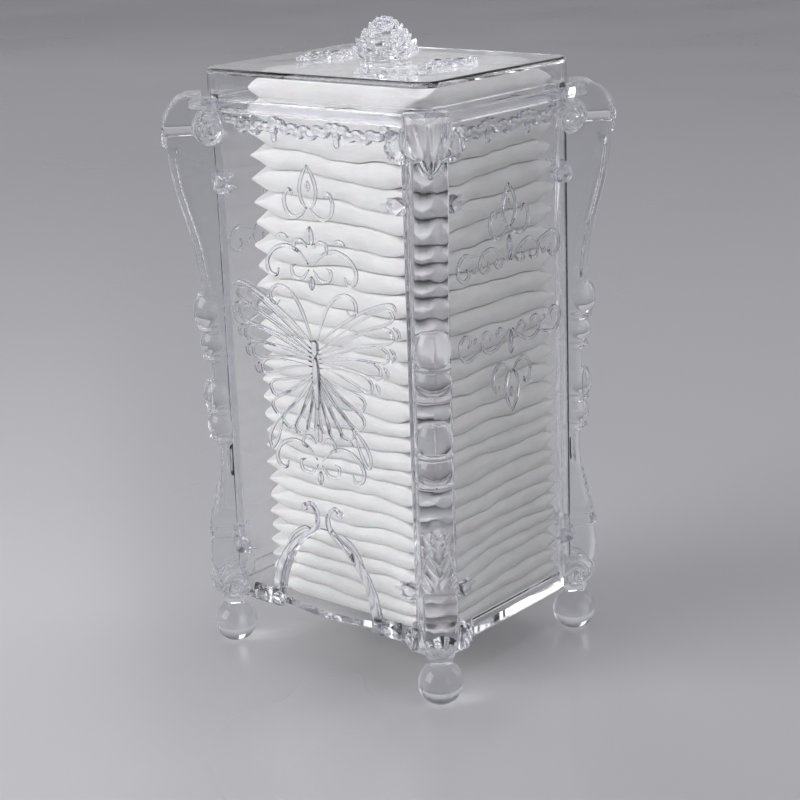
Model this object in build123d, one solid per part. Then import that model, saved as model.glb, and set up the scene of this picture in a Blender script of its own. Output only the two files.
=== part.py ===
from build123d import *
import os
from math import sqrt, radians, cos, sin

os.makedirs("parts", exist_ok=True)

# Clear moulded cotton pad tower, millimetres, +Z up. The origin is on the table under the middle of the
# case. The front, with the arched mouth, faces -Y.

# ---- case ----
case_width = 81.0           # over the outer faces of the side panels, along X
case_depth = 68.4           # over the outer faces of the front and back panels, along Y
panel_wall = 2.2
case_foot = 16.0            # lower edge of the panels above the table
panel_height = 141.2
glue_line = 0.1             # cement line between two clear mouldings

# ---- rails along the foot of each panel ----
rail_height = 5.3
rail_proud = 1.1
rail_to_corner = 13.4       # the rail stops this far from the corner, against the foot scroll
rail_round = 0.9

# ---- arched mouth ----
mouth_half_width = 17.6
mouth_rise = 27.2           # from the panel's foot to the point of the arch
# what pulls each side of the mouth into its curve, as shares of the half width and of the rise
mouth_pulls = [(0.93, 0.44), (0.6, 0.87)]
arch_rim = 3.0              # width of the raised moulding round the mouth
arch_rim_point = 1.3        # the moulding is this many times as high at the point of the arch
arch_proud = 1.2
mouth_overrun = 1.0         # the cut goes this far below the panel
curl_radius = 3.4           # the moulding's two tops curl outwards
curl_wire = 1.5
curl_rise = 5.6             # curl centre above the point of the arch
curl_half_gap = 5.0         # curl centre from the middle of the panel

# ---- floor ----
floor_thickness = 2.2
floor_bow = 1.9             # the floor's front edge bows into the mouth
floor_bow_half = 15.2

# ---- collar round the top ----
collar_height = 2.7
collar_proud = 1.0
collar_ledge = 1.0          # the collar stands this far inside the panels
collar_corner = 5.0

# ---- corner posts ----
post_width = 9.5            # across the corner
post_edge_round = 1.7
post_top = 161.6
post_hook = 2.2             # the head closes over the collar this far inside the corner
ankle_height = 12.0
ankle_length = 5.1
foot_reach = 3.0            # the foot stands this far inside the corner, along the diagonal
# how far the post's outer line stands off the case corner, from the head down to the ankle
post_line = [(0.6, post_top), (3.9, 160.3), (6.7, 157.0), (8.1, 151.0), (7.8, 143.0), (5.9, 132.5),
             (3.4, 123.5), (1.6, 114.0), (0.6, 104.0), (-0.5, 88.0), (-0.9, 70.0), (-1.2, 54.0),
             (0.4, 43.0), (2.1, 35.5), (3.1, 28.5), (2.6, 20.5), (0.7, 15.0)]
bead_radius = 5.1
# turned beads on the post: height of the middle, height of the bead, how far it stands off the corner
beads = [(100.4, 9.6, 3.9), (91.2, 7.0, 2.6), (75.8, 8.6, 2.6), (67.0, 7.6, 1.8)]
bead_shoulder = 0.72        # radius at a bead's ends, as a share of its middle radius

# ---- leaves and scrolls of the post ----
leaf_raise = 0.9
crown_leaf_half = 6.0
crown_leaf_tip = 146.7
crown_leaf_lobe = 151.5
crown_leaf_waist = 2.6      # where the side lobes meet the tongue
crown_leaf_rise = 1.5       # the side lobes end this much higher at the post's sides
crown_leaf_dip = 0.6        # how far the lobes sag
crown_lobe_middle = 0.75    # lowest part of a side lobe, as a share of the half width
crown_tongue_middle = 0.45  # the tongue's half width half way down, as a share of the waist
knee_leaf_half = 5.4
knee_leaf_tip = 51.0
knee_leaf_foot = 34.0
knee_leaf_middle = 0.62     # the leaf's half width half way up, as a share of the half width
crown_scroll = 4.3          # radius
crown_scroll_place = (-4.0, 6.1, 152.3)   # off the corner, across, height
foot_scroll = 4.8
foot_scroll_place = (-3.5, 4.5, 19.4)
rosette = 2.6
rosette_place = (-6.2, 6.8)
rosette_heights = (137.0, 32.0)

# ---- ball feet ----
ball_radius = 6.3
ball_middle = 6.2

# ---- lid ----
lid_set_in_width = 0.5      # how far the lid's sides stand in from the case's, along X
lid_set_in_depth = 1.7      # and along Y
lid_height = 8.2
lid_wall = 1.8
lid_top = 1.7
lid_corner = 6.0
lid_edge_round = 1.1
lip_clearance = 0.3
lip_wall = 1.2
lip_depth = 2.4
lip_ledge = 1.2

# ---- rose knob ----
rose_height = 12.0
rose_core = 6.0             # radius of the solid heart
rose_core_height = 9.2
rose_petal = 1.0            # petal thickness
rose_base_radius = 7.2
rose_foot = 1.2
rose_heart_belly = (0.86, 0.55)     # the heart's side half way up, as shares of its radius and height
bud_radius = 2.3
bud_tip = 0.6               # flat left on the very top
bud_belly = (0.78, 0.93)    # the bud's side, as shares of its radius and of the rose's height
petal_belly = (0.25, 0.45)  # how far a petal bulges, in petal thicknesses, and at what share of its height
# rings of petals: how many, radius at the base, radius at the rim, height, angle, turn of the first
petal_rings = [(6, 6.6, 9.0, 5.2, 66, 5), (5, 5.6, 7.2, 8.0, 78, 43), (5, 3.7, 4.9, 10.2, 76, 21)]

# ---- leaf sprays on the lid ----
spray_inset = 18.0          # middle of each spray from the lid's side
spray_heart = 2.2
spray_leaf_length = 8.0
spray_leaf_share = 0.5      # width of a leaf against its length
spray_leaf_turns = (0, 55, 90, 125, 180, 235, 270, 305)
spray_thickness = 1.6
spray_chamfer = 0.7
spray_scroll = 2.6          # radius of the scroll at each end
spray_wire = 1.1

# ---- cotton pads ----
pad_count = 28
pad_clear = 0.3             # the stack stands this far inside the lid's lip
pad_free = 9.0              # and leaves this much more free at its left
pad_corner = 3.5
pad_pinch = 2.6             # how far the pinched edge stands out of the pad's faces
pad_edge = 1.0              # thickness of the pinched edge
pad_gap = 0.1
pad_swell = 1.6             # the top pad is this many times as thick as the bottom one
pad_headroom = 0.4          # under the lid

# ---- worked out from the sizes above ----
post_half = post_width / 2
post_inner = post_half + panel_wall * sqrt(2)       # depth of the post behind the corner
panel_top = case_foot + panel_height
collar_foot = panel_top + glue_line
collar_top = collar_foot + collar_height
lid_foot = collar_top + glue_line
lid_head = lid_foot + lid_height
lid_width = case_width - 2 * lid_set_in_width
lid_depth = case_depth - 2 * lid_set_in_depth
floor_top = case_foot + floor_thickness
inner_width = case_width - 2 * panel_wall
inner_depth = case_depth - 2 * panel_wall
rim_width = inner_width - 2 * collar_ledge          # opening of the collar
rim_depth = inner_depth - 2 * collar_ledge
lip_width, lip_length = rim_width - 2 * lip_clearance, rim_depth - 2 * lip_clearance
pad_width = lip_width - 2 * (lip_wall + pad_clear) - pad_free
pad_depth = lip_length - 2 * (lip_wall + pad_clear)
far = 2 * (case_width + case_depth)                 # longer than anything here


def save(shape, node):
    shape.label = node
    export_step(shape, f"parts/{node}.step")


def corner_block(reach, low, high):
    """The corner of a box seen from a post: its edge stands `reach` off the case corner."""
    block = Box(far, far, high - low, align=(Align.MAX, Align.MAX, Align.MIN))
    return Pos(reach, 0, low) * Rot(0, 0, -45) * block


def post_side(raise_by, across):
    """The post's side view, drawn at a distance across the corner."""
    line = [(reach + raise_by, height) for reach, height in post_line]
    ankle_front = -foot_reach + ankle_length / 2
    ankle_back = -foot_reach - ankle_length / 2
    rest = Polyline(line[-1], (ankle_front, ankle_height), (ankle_back, ankle_height),
                    (-post_inner, case_foot), (-post_inner, panel_top), (-post_hook, panel_top),
                    (-post_hook, post_top), line[0])
    return Pos(0, across, 0) * make_face(Plane.XZ * (Spline(*line) + rest))


def post_blank(raise_by, half, edge_round):
    """A slab across the corner whose outer edge follows the post's line, its long edges rounded."""
    quarter = [(half - edge_round * (1 - sin(radians(a))), -edge_round * (1 - cos(radians(a))))
               for a in (0, 45, 90)]
    stations = [(-across, drop) for across, drop in reversed(quarter)] + quarter
    return loft([post_side(raise_by + drop, across) for across, drop in stations], ruled=True)


def bead(middle, height, reach):
    """A turned bead standing on the post."""
    end = bead_radius * bead_shoulder
    side = ThreePointArc((end, -height / 2), (bead_radius, 0), (end, height / 2))
    rest = Polyline((end, height / 2), (0, height / 2), (0, -height / 2), (end, -height / 2))
    turned = revolve(make_face(Plane.XZ * (side + rest)), Axis.Z)
    return Pos(reach - bead_radius, 0, middle) * turned


def leaf_on_post(outline):
    """The part of a slightly proud slab that lies behind a leaf outline drawn across the corner."""
    cutter = extrude(Plane.YZ * make_face(outline), amount=far)
    behind = Pos(-post_inner, 0, 0) * cutter
    return post_blank(leaf_raise, crown_leaf_half + leaf_raise, leaf_raise) & behind


def crown_leaf():
    """A drape under the collar: a side lobe on each side and a pointed tongue between them."""
    half, waist, lobe, tip = crown_leaf_half, crown_leaf_waist, crown_leaf_lobe, crown_leaf_tip
    head, shoulder = post_top + leaf_raise, lobe + crown_leaf_rise
    side = ThreePointArc((half, shoulder), (crown_lobe_middle * half, lobe - crown_leaf_dip), (waist, lobe))
    halfway = (crown_tongue_middle * waist, (lobe + tip) / 2 - crown_leaf_dip)
    right = side + ThreePointArc((waist, lobe), halfway, (0, tip))
    rest = Polyline((-half, shoulder), (-half, head), (half, head), (half, shoulder))
    return leaf_on_post(right + mirror(right, Plane.YZ) + rest)


def knee_leaf():
    half, tip, foot = knee_leaf_half, knee_leaf_tip, knee_leaf_foot
    right = ThreePointArc((half, foot), (knee_leaf_middle * half, (tip + foot) / 2), (0, tip))
    return leaf_on_post(right + mirror(right, Plane.YZ) + Line((-half, foot), (half, foot)))


def ball_at(radius, reach, across, height):
    """The same ball on both sides of the post."""
    return [Pos(reach, side * across, height) * Sphere(radius) for side in (-1, 1)]


def corner_post():
    """One moulded post about its own corner: outwards along +X, across along Y."""
    slab = post_blank(0, post_half, post_edge_round)
    grown = [bead(*b) for b in beads] + [crown_leaf(), knee_leaf()]
    grown += ball_at(crown_scroll, *crown_scroll_place)
    grown += ball_at(foot_scroll, *foot_scroll_place)
    for height in rosette_heights:
        grown += ball_at(rosette, rosette_place[0], rosette_place[1], height)
    case_corner = corner_block(glue_line * sqrt(2), 0, collar_foot)
    grown = Part() + grown - case_corner
    collar_corner_block = corner_block((collar_proud + glue_line) * sqrt(2), panel_top, lid_foot)
    return slab + grown - collar_corner_block


def at_corner(shape, side_x, side_y):
    turn = {(1, 1): 45, (-1, 1): 135, (-1, -1): -135, (1, -1): -45}[(side_x, side_y)]
    return Pos(side_x * case_width / 2, side_y * case_depth / 2, 0) * Rot(0, 0, turn) * shape


def ball_foot():
    ball = Pos(-foot_reach, 0, ball_middle) * Sphere(ball_radius)
    stand = Pos(-foot_reach, 0, 0) * Box(far, far, ankle_height - glue_line,
                                         align=(Align.CENTER, Align.CENTER, Align.MIN))
    return ball & stand


def panel(span):
    """A wall of the case, its outer face on Y = 0 and facing -Y, its ends cut to the posts' sides."""
    seat = (post_half + glue_line) * sqrt(2)
    outer, inner = span / 2 - seat, span / 2 - seat - panel_wall
    plan = make_face(Polyline((-outer, 0), (outer, 0), (inner, panel_wall), (-inner, panel_wall),
                              (-outer, 0)))
    wall = Pos(0, 0, case_foot) * extrude(plan, panel_height)
    rail_length = span - 2 * rail_to_corner
    rail = Box(rail_length, rail_proud, rail_height, align=(Align.CENTER, Align.MAX, Align.MIN))
    rail = fillet(rail.edges().group_by(Axis.Y)[0].filter_by(Axis.X), rail_round)
    return wall + Pos(0, 0, case_foot) * rail


def arch_face(margin):
    """The pointed mouth drawn on the front, grown by margin all round."""
    half = mouth_half_width + margin
    top = mouth_rise + arch_rim_point * margin
    pulls = [(half * across, top * up) for across, up in mouth_pulls]
    right = Bezier((half, 0), *pulls, (0, top))
    left = Bezier((0, top), *[(-x, z) for x, z in reversed(pulls)], (-half, 0))
    low = Polyline((-half, 0), (-half, -mouth_overrun), (half, -mouth_overrun), (half, 0))
    return Plane.XZ * make_face(right + left + low)


def arch_curl(side):
    """The end of the arch moulding: a hook that curls outwards above the point of the arch."""
    middle = (side * curl_half_gap, mouth_rise + curl_rise)
    ring = Circle(curl_radius) - Circle(curl_radius - curl_wire)
    open_side = Pos(side * curl_radius, -curl_radius) * Rectangle(2 * curl_radius, 2 * curl_radius)
    hook = Pos(*middle) * (ring - open_side)
    stem = Pos(side * (curl_half_gap - curl_radius + curl_wire / 2), mouth_rise + curl_rise / 2)
    hook += stem * Rectangle(curl_wire, curl_rise)
    return extrude(Plane.XZ * hook, arch_proud)


def front_panel():
    wall = panel(case_width)
    ring = extrude(arch_face(arch_rim) - arch_face(0), arch_proud)
    trim = ring + arch_curl(-1) + arch_curl(1)
    trim = trim & Box(far, far, far, align=(Align.CENTER, Align.CENTER, Align.MIN))
    mouth = extrude(arch_face(0), far, both=True)
    return wall + Pos(0, 0, case_foot) * trim - Pos(0, 0, case_foot) * mouth


def floor_plate():
    plan = Rectangle(inner_width - 2 * glue_line, inner_depth - 2 * glue_line)
    front = -inner_depth / 2 + glue_line
    bow = ThreePointArc((-floor_bow_half, front), (0, front - floor_bow), (floor_bow_half, front))
    plan += make_face(bow + Line((floor_bow_half, front), (-floor_bow_half, front)))
    plate = Pos(0, 0, case_foot) * extrude(plan, floor_thickness)
    corner = Box(far, far, far, align=(Align.MIN, Align.CENTER, Align.CENTER))
    corner = Pos(-post_inner - glue_line, 0, 0) * corner
    for side_x in (-1, 1):
        for side_y in (-1, 1):
            plate -= at_corner(corner, side_x, side_y)
    return plate


def top_collar():
    outer = Rectangle(case_width + 2 * collar_proud, case_depth + 2 * collar_proud)
    ring = extrude(outer - RectangleRounded(rim_width, rim_depth, collar_corner), collar_height)
    return Pos(0, 0, collar_foot) * ring


def rounded_ring(width, depth, corner, wall, low, high):
    """A rounded frame whose outer size is width by depth."""
    outer = RectangleRounded(width, depth, corner)
    inner = RectangleRounded(width - 2 * wall, depth - 2 * wall, corner - wall)
    return Pos(0, 0, low) * extrude(outer - inner, high - low)


def lid_cover():
    block = Pos(0, 0, lid_foot) * extrude(RectangleRounded(lid_width, lid_depth, lid_corner), lid_height)
    block = fillet(block.faces().sort_by(Axis.Z)[-1].edges(), lid_edge_round)
    hollow_width, hollow_depth = lid_width - 2 * lid_wall, lid_depth - 2 * lid_wall
    hollow = RectangleRounded(hollow_width, hollow_depth, lid_corner - lid_wall)
    cover = block - Pos(0, 0, lid_foot) * extrude(hollow, lid_height - lid_top)
    lip = rounded_ring(lip_width, lip_length, collar_corner - lip_clearance, lip_wall,
                       lid_foot - lip_depth, lid_foot + lip_ledge)
    ledge_hole = RectangleRounded(lip_width - 2 * lip_wall, lip_length - 2 * lip_wall,
                                  collar_corner - lip_clearance - lip_wall)
    ledge = extrude(hollow - ledge_hole, lip_ledge)
    return cover + lip + Pos(0, 0, lid_foot) * ledge


def petal(base, rim, height, spread):
    """A curved petal: a thin bowl section turned through part of a circle, its upper corners rounded."""
    belly = (max(base, rim) + petal_belly[0] * rose_petal, petal_belly[1] * height)
    outer = ThreePointArc((base, 0), belly, (rim, height))
    inner = ThreePointArc((rim - rose_petal, height), (belly[0] - rose_petal, belly[1]),
                          (base - rose_petal, 0))
    strip = outer + Line(outer @ 1, inner @ 0) + inner + Line(inner @ 1, outer @ 0)
    bowl = Rot(0, 0, -spread / 2) * revolve(make_face(Plane.XZ * strip), Axis.Z, spread)
    half_span = rim * sin(radians(spread / 2)) + rose_petal
    window = Rot(0, 90, 0) * Cylinder(half_span, 2 * rim, align=(Align.CENTER, Align.CENTER, Align.MIN))
    return bowl & Pos(0, 0, height - half_span) * window


def lid_rose():
    heart_side = (rose_heart_belly[0] * rose_core, rose_heart_belly[1] * rose_core_height)
    heart = ThreePointArc((rose_core, rose_foot), heart_side, (bud_radius, rose_core_height))
    bud_side = (bud_belly[0] * bud_radius, bud_belly[1] * rose_height)
    bud = ThreePointArc((bud_radius, rose_core_height), bud_side, (bud_tip, rose_height))
    rest = Polyline((bud_tip, rose_height), (0, rose_height), (0, 0), (rose_base_radius, 0),
                    (rose_base_radius, rose_foot), (rose_core, rose_foot))
    rose = revolve(make_face(Plane.XZ * (heart + bud + rest)), Axis.Z)
    for count, base, rim, height, spread, turn in petal_rings:
        one = petal(base, rim, height, spread)
        for n in range(count):
            rose += Rot(0, 0, turn + 360 * n / count) * one
    return Pos(0, 0, lid_head + glue_line) * rose


def spray_leaf(length):
    """A leaf lying on the lid: an almond outline with its upper edge taken off."""
    half, width = length / 2, spray_leaf_share * length
    upper = ThreePointArc((-half, 0), (0, width / 2), (half, 0))
    lower = ThreePointArc((half, 0), (0, -width / 2), (-half, 0))
    blank = extrude(make_face(upper + lower), spray_thickness)
    return chamfer(blank.faces().sort_by(Axis.Z)[-1].edges(), spray_chamfer)


def lid_spray(side):
    """A flower of leaves with a small scroll at each end."""
    flower = Cylinder(spray_heart, spray_thickness, align=(Align.CENTER, Align.CENTER, Align.MIN))
    for turn in spray_leaf_turns:
        leaf = spray_leaf(spray_leaf_length)
        flower += Rot(0, 0, turn) * Pos(spray_leaf_length / 2, 0, 0) * leaf
    ring = extrude(Circle(spray_scroll) - Circle(spray_scroll - spray_wire), spray_thickness / 2)
    for end in (-1, 1):
        flower += Pos(0, end * (spray_leaf_length + spray_scroll - spray_wire), 0) * ring
    return Pos(side * (lid_width / 2 - spray_inset), 0, lid_head + glue_line) * flower


def pad_thicknesses():
    """Thicknesses from the bottom pad up: the pads lower down are pressed flatter."""
    room = lid_head - lid_top - pad_headroom - floor_top
    share = [1 + (pad_swell - 1) * n / (pad_count - 1) for n in range(pad_count)]
    loose = room - pad_count * pad_gap
    return [loose * s / sum(share) for s in share]


def cotton_pad(thickness):
    """One pad: flat faces, sides drawn out to a thin pinched edge."""
    rise = (thickness - pad_edge) / 2
    outline = RectangleRounded(pad_width, pad_depth, pad_corner)
    face = RectangleRounded(pad_width - 2 * pad_pinch, pad_depth - 2 * pad_pinch, pad_corner)
    half = extrude(outline, pad_edge / 2)
    half += loft([Pos(0, 0, pad_edge / 2) * outline, Pos(0, 0, pad_edge / 2 + rise) * face], ruled=True)
    return Pos(pad_free / 2, 0, thickness / 2) * (half + mirror(half, Plane.XY))


# ---- case ----
save(Pos(0, -case_depth / 2, 0) * front_panel(), "front_panel")
save(Rot(0, 0, 180) * Pos(0, -case_depth / 2, 0) * panel(case_width), "back_panel")
save(Rot(0, 0, -90) * Pos(0, -case_width / 2, 0) * panel(case_depth), "left_panel")
save(Rot(0, 0, 90) * Pos(0, -case_width / 2, 0) * panel(case_depth), "right_panel")
save(floor_plate(), "floor_plate")
save(top_collar(), "top_collar")

# ---- posts and feet ----
post, foot = corner_post(), ball_foot()
corners = {"front_left": (-1, -1), "front_right": (1, -1), "back_left": (-1, 1), "back_right": (1, 1)}
for name, sides in corners.items():
    save(at_corner(post, *sides), f"corner_post_{name}")
    save(at_corner(foot, *sides), f"ball_foot_{name}")

# ---- lid ----
save(lid_cover(), "lid_cover")
save(lid_rose(), "lid_rose")
save(lid_spray(-1), "lid_spray_left")
save(lid_spray(1), "lid_spray_right")

# ---- cotton pads ----
level = floor_top + pad_gap
for number, thickness in enumerate(pad_thicknesses(), start=1):
    save(Pos(0, 0, level) * cotton_pad(thickness), f"cotton_pad_{number:02d}")
    level += thickness + pad_gap
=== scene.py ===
import math

import bmesh
import bpy
import numpy as np
from mathutils import Matrix, Vector, noise


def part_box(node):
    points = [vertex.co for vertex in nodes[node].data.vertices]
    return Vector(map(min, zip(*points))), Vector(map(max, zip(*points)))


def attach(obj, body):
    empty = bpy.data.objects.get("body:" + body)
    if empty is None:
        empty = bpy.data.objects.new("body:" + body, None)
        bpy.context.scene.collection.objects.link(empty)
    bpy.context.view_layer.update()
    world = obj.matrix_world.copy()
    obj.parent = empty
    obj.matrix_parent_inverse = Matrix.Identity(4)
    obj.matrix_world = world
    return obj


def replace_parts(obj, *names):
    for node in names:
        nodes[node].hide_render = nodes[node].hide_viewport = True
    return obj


# Clear moulded cotton pad tower. The frame is in metres, and all drawings below are in millimetres.
MM = 0.001

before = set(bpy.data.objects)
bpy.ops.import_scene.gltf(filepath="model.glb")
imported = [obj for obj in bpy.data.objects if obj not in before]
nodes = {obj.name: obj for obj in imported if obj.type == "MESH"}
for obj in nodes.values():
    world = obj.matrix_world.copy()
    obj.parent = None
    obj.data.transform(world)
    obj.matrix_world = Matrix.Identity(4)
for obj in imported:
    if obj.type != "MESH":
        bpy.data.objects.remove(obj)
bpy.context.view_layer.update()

RELIEF_OVER_FRONT = 1.2  # the mouth's rim and the rails stand this far off the walls' faces
RELIEF_OVER_SIDE = 1.1
FRONT_FACE = -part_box("front_panel")[0].y - RELIEF_OVER_FRONT * MM
SIDE_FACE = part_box("right_panel")[1].x - RELIEF_OVER_SIDE * MM
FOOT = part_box("front_panel")[0].z
PANEL_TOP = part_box("front_panel")[1].z
PANEL_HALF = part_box("front_panel")[1].x
PANEL_WALL = 2.2


# ---- shader groups
SURFACE_OUTPUTS = (("Color", "NodeSocketColor"), ("Roughness", "NodeSocketFloat"),
                   ("Normal", "NodeSocketVector"))


def surface_group(name, inputs):
    """A shader node group that gives a colour, a roughness and a normal; inputs are names and values."""
    group = bpy.data.node_groups.new(name, "ShaderNodeTree")
    for label, value in inputs.items():
        kind = "NodeSocketFloat" if isinstance(value, float) else "NodeSocketColor"
        group.interface.new_socket(label, in_out="INPUT", socket_type=kind).default_value = value
    for label, kind in SURFACE_OUTPUTS:
        group.interface.new_socket(label, in_out="OUTPUT", socket_type=kind)
    return group, group.nodes.new("NodeGroupInput"), group.nodes.new("NodeGroupOutput")


def add(tree, kind, settings=(), values=()):
    """One shader node, with its settings and the values of its unlinked inputs."""
    node = tree.nodes.new("ShaderNode" + kind)
    for key, value in dict(settings).items():
        setattr(node, key, value)
    for key, value in dict(values).items():
        node.inputs[key].default_value = value
    return node


def wire(tree, *pairs):
    """Links nodes: each pair is a node and its output, and the node and input it feeds."""
    for source, output, target, socket in pairs:
        tree.links.new(source.outputs[output], target.inputs[socket])


def moulding_flow_group():
    """Clear plastic as it leaves the mould: slow waves in its surface and an uneven polish."""
    group, start, end = surface_group("Moulding Flow", {
        "Wave Size": 60.0, "Wave Height": 0.05, "Polish": 0.02, "Haze": 0.05,
        "Tint": (0.98, 0.98, 1.0, 1.0)})
    place = add(group, "TexCoord")
    waves = add(group, "TexNoise", values={"Detail": 1.5, "Roughness": 0.4, "Distortion": 0.3})
    wipe = add(group, "TexNoise", values={"Scale": 240.0, "Detail": 4.0, "Roughness": 0.65})
    bump = add(group, "Bump", values={"Strength": 1.0})
    haze = add(group, "MapRange", values={"From Min": 0.42, "From Max": 0.8})
    tone = add(group, "Mix", {"data_type": "RGBA", "blend_type": "MULTIPLY"}, {"Factor": 1.0})
    shade = add(group, "MapRange",
                values={"From Min": 0.3, "From Max": 0.7, "To Min": 0.97, "To Max": 1.0})
    wire(group, (place, "Object", waves, "Vector"), (place, "Object", wipe, "Vector"),
         (start, "Wave Size", waves, "Scale"), (waves, "Fac", bump, "Height"),
         (start, "Wave Height", bump, "Distance"), (wipe, "Fac", haze, "Value"),
         (start, "Polish", haze, "To Min"), (start, "Haze", haze, "To Max"),
         (wipe, "Fac", shade, "Value"), (start, "Tint", tone, "A"), (shade, "Result", tone, "B"),
         (tone, "Result", end, "Color"), (haze, "Result", end, "Roughness"),
         (bump, "Normal", end, "Normal"))
    return group


def cotton_fibre_group():
    """Pressed cotton: a felt of fine fibres, soft lumps and faint seed flecks."""
    group, start, end = surface_group("Cotton Fibre", {
        "Light": (0.9, 0.9, 0.9, 1.0), "Shade": (0.8, 0.8, 0.8, 1.0), "Fibre Size": 900.0,
        "Fibre Depth": 0.0002, "Lump Depth": 0.0006})
    place = add(group, "TexCoord")
    stretch = add(group, "Mapping", values={"Scale": (1.0, 1.0, 2.6)})
    fibre = add(group, "TexNoise", values={"Detail": 6.0, "Roughness": 0.7, "Distortion": 1.2})
    lump = add(group, "TexNoise", values={"Scale": 110.0, "Detail": 3.0, "Roughness": 0.55})
    blot = add(group, "MapRange", values={"From Min": 0.35, "From Max": 0.68})
    mixed = add(group, "Mix", {"data_type": "RGBA"})
    fleck = add(group, "TexVoronoi", values={"Scale": 160.0})
    dots = add(group, "MapRange",
               values={"From Min": 0.03, "From Max": 0.075, "To Min": 0.9, "To Max": 1.0})
    speck = add(group, "Mix", {"data_type": "RGBA", "blend_type": "MULTIPLY"}, {"Factor": 1.0})
    rough = add(group, "MapRange",
                values={"From Min": 0.3, "From Max": 0.7, "To Min": 0.86, "To Max": 1.0})
    soft = add(group, "Bump", values={"Strength": 0.7})
    felt = add(group, "Bump", values={"Strength": 0.6})
    wire(group, (place, "Object", stretch, "Vector"), (stretch, "Vector", fibre, "Vector"),
         (stretch, "Vector", lump, "Vector"), (place, "Object", fleck, "Vector"),
         (start, "Fibre Size", fibre, "Scale"), (lump, "Fac", blot, "Value"),
         (blot, "Result", mixed, "Factor"), (start, "Shade", mixed, "A"),
         (start, "Light", mixed, "B"), (fleck, "Distance", dots, "Value"),
         (mixed, "Result", speck, "A"), (dots, "Result", speck, "B"), (fibre, "Fac", rough, "Value"),
         (lump, "Fac", soft, "Height"), (start, "Lump Depth", soft, "Distance"),
         (fibre, "Fac", felt, "Height"), (start, "Fibre Depth", felt, "Distance"),
         (soft, "Normal", felt, "Normal"), (speck, "Result", end, "Color"),
         (rough, "Result", end, "Roughness"), (felt, "Normal", end, "Normal"))
    return group


MOULDING_FLOW = moulding_flow_group()
COTTON_FIBRE = cotton_fibre_group()


# ---- materials
def new_material(name):
    """A material with an empty node tree."""
    material = bpy.data.materials.new(name)
    material.use_nodes = True
    material.node_tree.nodes.clear()
    return material, material.node_tree


ACRYLIC_IOR = 1.49
LAMP_LET_THROUGH = (0.93, 0.93, 0.93, 1.0)


def clear_plastic(name, tint, wave_size, wave_height, polish, haze):
    """Clear acrylic with the waves and polish of its moulding; lamps shine through it."""
    material, tree = new_material(name)
    flow = add(tree, "Group", {"node_tree": MOULDING_FLOW},
               {"Wave Size": wave_size, "Wave Height": wave_height, "Polish": polish, "Haze": haze,
                "Tint": (*tint, 1.0)})
    body = add(tree, "BsdfPrincipled",
               values={"Metallic": 0.0, "Transmission Weight": 1.0, "IOR": ACRYLIC_IOR})
    lamp_path = add(tree, "LightPath")
    through = add(tree, "BsdfTransparent", values={"Color": LAMP_LET_THROUGH})
    either = add(tree, "MixShader")
    out = add(tree, "OutputMaterial")
    wire(tree, (flow, "Color", body, "Base Color"), (flow, "Roughness", body, "Roughness"),
         (flow, "Normal", body, "Normal"), (lamp_path, "Is Shadow Ray", either, "Fac"),
         (body, "BSDF", either, 1), (through, "BSDF", either, 2), (either, "Shader", out, "Surface"))
    return material


def cotton(name, light, shade):
    """Pressed cotton wool, matt with a soft nap."""
    material, tree = new_material(name)
    felt = add(tree, "Group", {"node_tree": COTTON_FIBRE},
               {"Light": (*light, 1.0), "Shade": (*shade, 1.0)})
    body = add(tree, "BsdfPrincipled",
               values={"Metallic": 0.0, "Specular IOR Level": 0.12, "Sheen Weight": 0.25,
                       "Sheen Roughness": 0.5, "Subsurface Weight": 0.12, "Subsurface Scale": 0.002})
    out = add(tree, "OutputMaterial")
    wire(tree, (felt, "Color", body, "Base Color"), (felt, "Roughness", body, "Roughness"),
         (felt, "Normal", body, "Normal"), (body, "BSDF", out, "Surface"))
    return material


# name, tint, size and height of the surface waves, polish and haze
CLEAR_SHEET = clear_plastic("Clear Sheet", (0.975, 0.975, 0.985), 45.0, 0.00006, 0.012, 0.04)
CLEAR_CAST = clear_plastic("Clear Casting", (0.93, 0.93, 0.965), 160.0, 0.00008, 0.02, 0.06)
CLEAR_LID = clear_plastic("Clear Lid", (0.97, 0.97, 0.985), 70.0, 0.00008, 0.015, 0.05)
CLEAR_LINE = clear_plastic("Clear Relief Line", (0.93, 0.93, 0.955), 300.0, 0.00003, 0.02, 0.06)
COTTON = cotton("Pressed Cotton", (0.9, 0.9, 0.905), (0.83, 0.825, 0.82))


# ---- making pieces
def dress(obj, material):
    """Gives an object its one material."""
    obj.data.materials.clear()
    obj.data.materials.append(material)


def new_object(name, data):
    """An object of the scene."""
    obj = bpy.data.objects.new(name, data)
    bpy.context.scene.collection.objects.link(obj)
    return obj


def riding_piece(name, mesh, material, body):
    """A piece in metres that rides on a body of the frame."""
    obj = new_object(name, mesh)
    dress(obj, material)
    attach(obj, body)
    return obj


def case_piece(name, verts, faces, material, smooth=True):
    """A piece of the case from its points and faces."""
    mesh = bpy.data.meshes.new(name)
    mesh.from_pydata([tuple(v) for v in verts], [], faces)
    mesh.update()
    if smooth:
        mesh.polygons.foreach_set("use_smooth", [True] * len(mesh.polygons))
    return riding_piece(name, mesh, material, "case")


def smooth_path(points, steps=6):
    """A flowing line through a few points (Catmull-Rom)."""
    pts = [Vector(p) for p in points]
    if len(pts) < 3:
        return pts
    out = []
    for i in range(len(pts) - 1):
        a = pts[i - 1] if i else pts[0] * 2 - pts[1]
        b, c = pts[i], pts[i + 1]
        d = pts[i + 2] if i + 2 < len(pts) else pts[-1] * 2 - pts[-2]
        for k in range(steps):
            t = k / steps
            out.append(0.5 * ((2 * b) + (c - a) * t + (2 * a - 5 * b + 4 * c - d) * t * t
                              + (3 * b - a - 3 * c + d) * t ** 3))
    out.append(pts[-1])
    return out


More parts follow.
